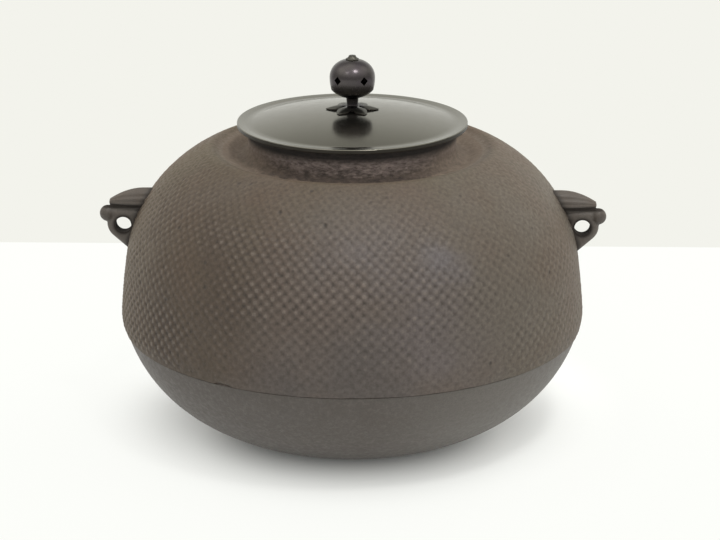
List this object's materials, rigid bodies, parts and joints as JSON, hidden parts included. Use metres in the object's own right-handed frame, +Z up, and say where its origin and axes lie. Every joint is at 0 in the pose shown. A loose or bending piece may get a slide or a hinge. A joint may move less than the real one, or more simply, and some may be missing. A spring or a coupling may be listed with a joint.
{
  "type": "chagama kettle",
  "caption": "Cast iron tea hearth kettle with a textured round body, a smooth let-in bottom, ring lugs at the sides and a lift-off bronze lid with a pierced knob.",
  "frame": {"origin": "on the kettle's axis at the ground, under the middle of the flat foot", "axes": "+Z up along the axis, +X through the right ring lug, +Y to the back"},
  "size_m": [0.2704, 0.248, 0.2053],
  "materials": {
    "textured_iron": "matte, brown, bumpy",
    "smooth_iron": "matte, grey brown",
    "iron_putty": "matte",
    "lug_iron": "matte, worn",
    "lid_bronze": "dark patina, satin",
    "knob_bronze": "dark patina, satin",
    "plate_iron": "matte",
    "lacquer": "semi gloss"
  },
  "bodies": {
    "kettle": {"upper_body": "textured_iron", "bottom_bowl": "smooth_iron", "seam_putty": "iron_putty", "left_lug": "lug_iron", "right_lug": "lug_iron", "sound_plate_1": "plate_iron", "sound_plate_2": "plate_iron", "sound_plate_3": "plate_iron", "sound_plate_4": "plate_iron", "sound_plate_5": "plate_iron", "plate_lacquer_1": "lacquer", "plate_lacquer_2": "lacquer", "plate_lacquer_3": "lacquer", "plate_lacquer_4": "lacquer", "plate_lacquer_5": "lacquer"},
    "lid": {"lid_plate": "lid_bronze", "lid_ring": "lid_bronze", "knob_seat": "knob_bronze", "knob_ball": "knob_bronze", "knob_crown": "knob_bronze", "knob_rivet": "knob_bronze", "knob_washer": "lid_bronze"}
  },
  "joints": [
    {"name": "lid_lift", "type": "slide", "parent": "kettle", "child": "lid", "axis": [0, 0, 1], "range_m": [0, 0.12]}
  ]
}
